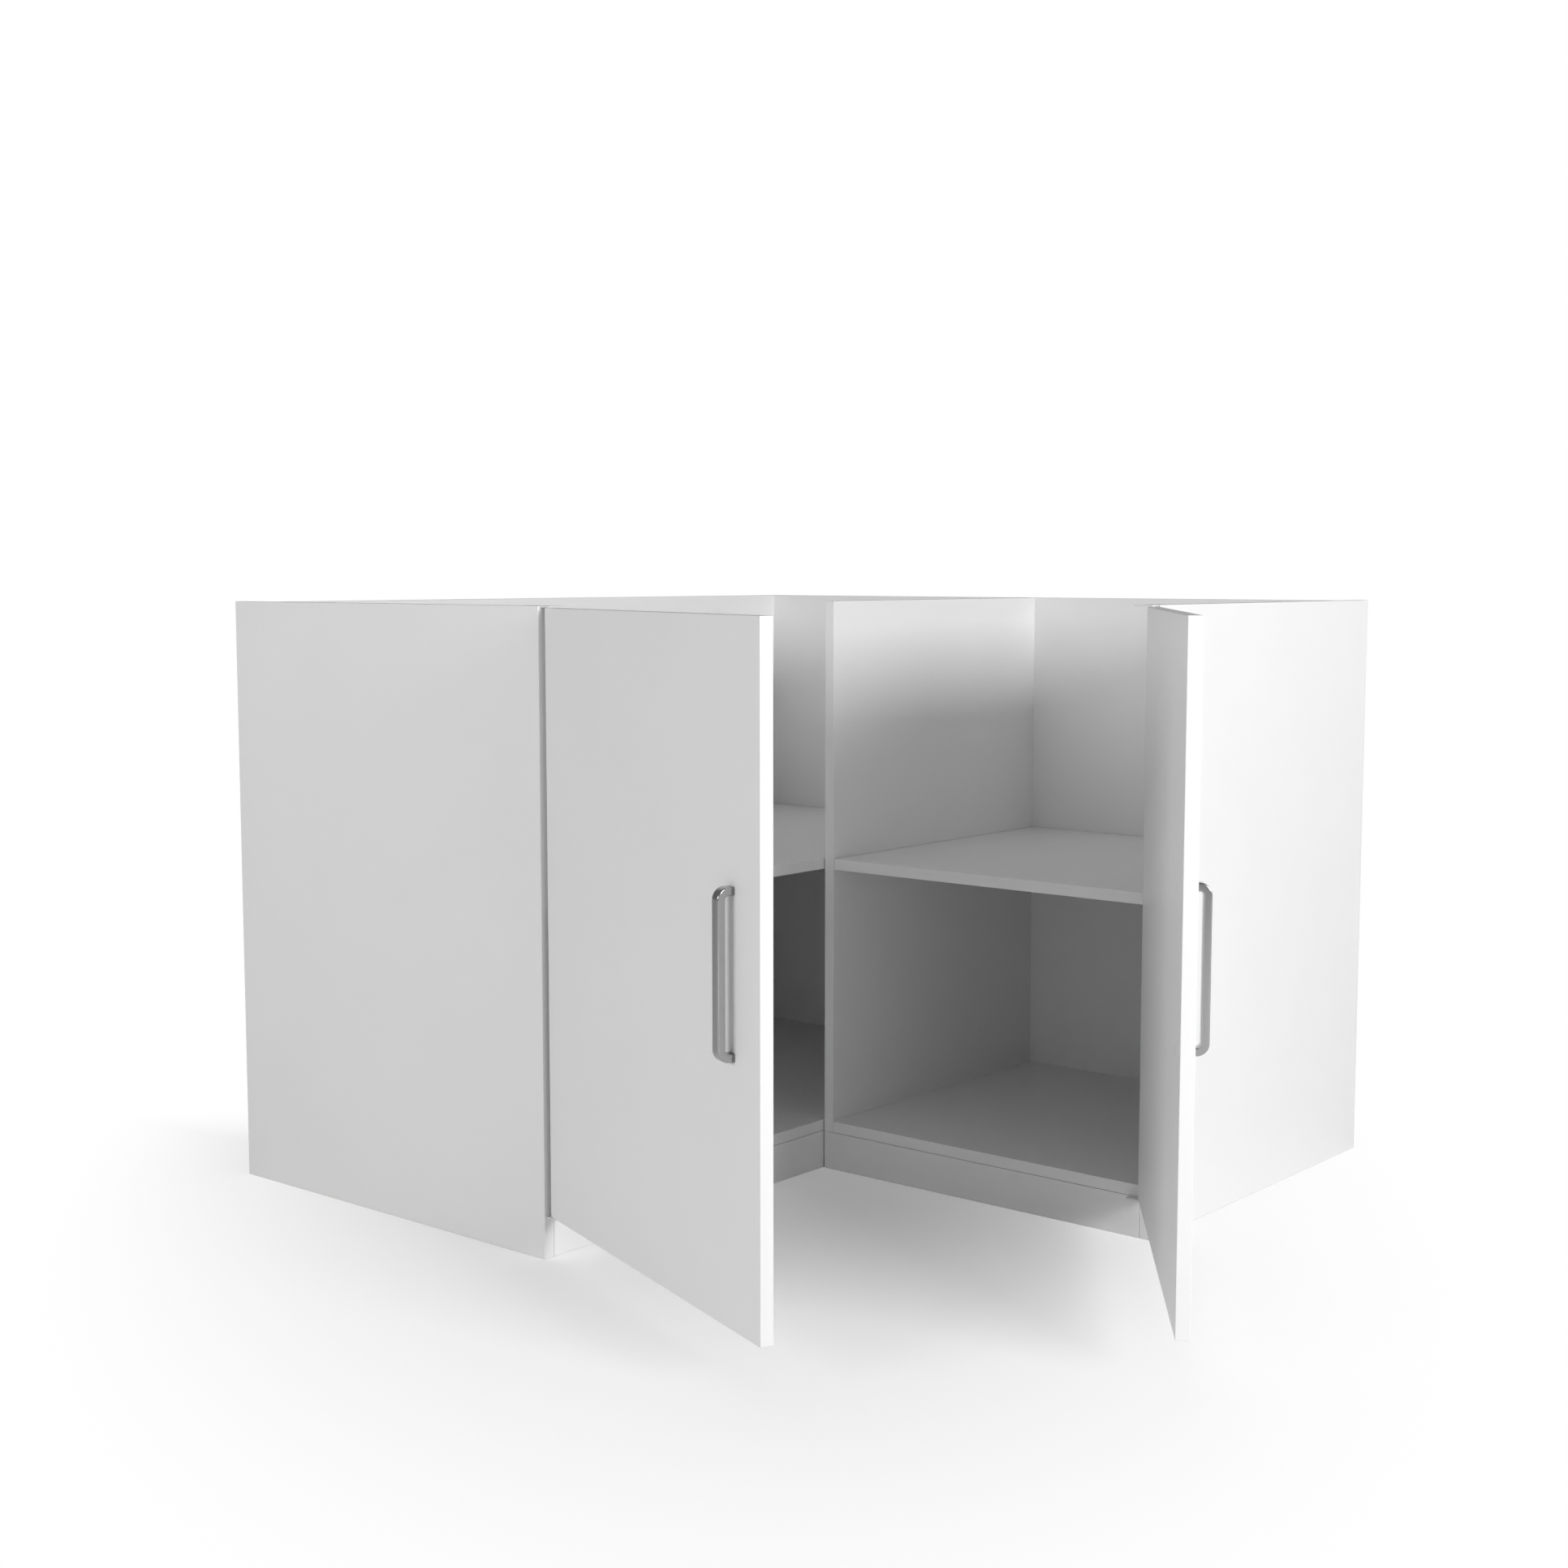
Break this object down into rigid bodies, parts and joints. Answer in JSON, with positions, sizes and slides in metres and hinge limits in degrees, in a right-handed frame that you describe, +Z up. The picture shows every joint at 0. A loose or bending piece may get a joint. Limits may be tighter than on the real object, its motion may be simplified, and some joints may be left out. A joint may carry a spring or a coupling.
{
  "type": "corner kitchen base cabinet",
  "caption": "White corner kitchen base cabinet: open-topped wings at a right angle with shelves, and slab doors with satin bow handles standing open.",
  "frame": {"origin": "inside corner on the floor, where the fronts of the two wings meet: the lower front corner of the right plinth", "axes": "+X along the right wing's front towards its outer end, +Y from that front towards the wall behind it, +Z up"},
  "size_m": [1.4605, 1.3391, 0.825],
  "materials": {
    "white_board": "satin",
    "satin_nickel": "satin",
    "white_coated_steel": "satin",
    "zinc_steel": "satin",
    "cast_zinc": "matte",
    "beech": "matte",
    "nylon": "matte",
    "white_plastic": "satin"
  },
  "bodies": {
    "carcass": {"left_end_panel": "white_board", "right_end_panel": "white_board", "partition_panel": "white_board", "left_back_panel": "white_board", "right_back_panel": "white_board", "left_bottom_panel": "white_board", "right_bottom_panel": "white_board", "left_shelf": "white_board", "right_shelf": "white_board", "left_plinth": "white_board", "right_plinth": "white_board", "left_upper_pivot_bracket": "white_coated_steel", "left_lower_pivot_bracket": "white_coated_steel", "left_pivot_pins": "zinc_steel", "left_bracket_screws": "white_coated_steel", "right_upper_pivot_bracket": "white_coated_steel", "right_lower_pivot_bracket": "white_coated_steel", "right_pivot_pins": "zinc_steel", "right_bracket_screws": "white_coated_steel", "left_shelf_pins": "zinc_steel", "right_shelf_pins": "zinc_steel", "left_wing_dowels": "beech", "right_wing_dowels": "beech", "left_wing_cam_bolts": "zinc_steel", "right_wing_cam_bolts": "zinc_steel", "left_wing_cams": "cast_zinc", "right_wing_cams": "cast_zinc"},
    "left_door_leaf": {"left_door": "white_board", "left_handle": "satin_nickel", "left_handle_screws": "zinc_steel", "left_handle_screw_caps": "white_plastic", "left_door_bushes": "nylon"},
    "right_door_leaf": {"right_door": "white_board", "right_handle": "satin_nickel", "right_handle_screws": "zinc_steel", "right_handle_screw_caps": "white_plastic", "right_door_bushes": "nylon"}
  },
  "joints": [
    {"name": "left_door_hinge", "type": "hinge", "parent": "carcass", "child": "left_door_leaf", "pos_m": [0.0115, -0.5525, 0.439], "axis": [0, 0, -1], "range_deg": [-110, 15]},
    {"name": "right_door_hinge", "type": "hinge", "parent": "carcass", "child": "right_door_leaf", "pos_m": [0.5385, -0.0085, 0.439], "axis": [0, 0, 1], "range_deg": [-125, 0]}
  ]
}
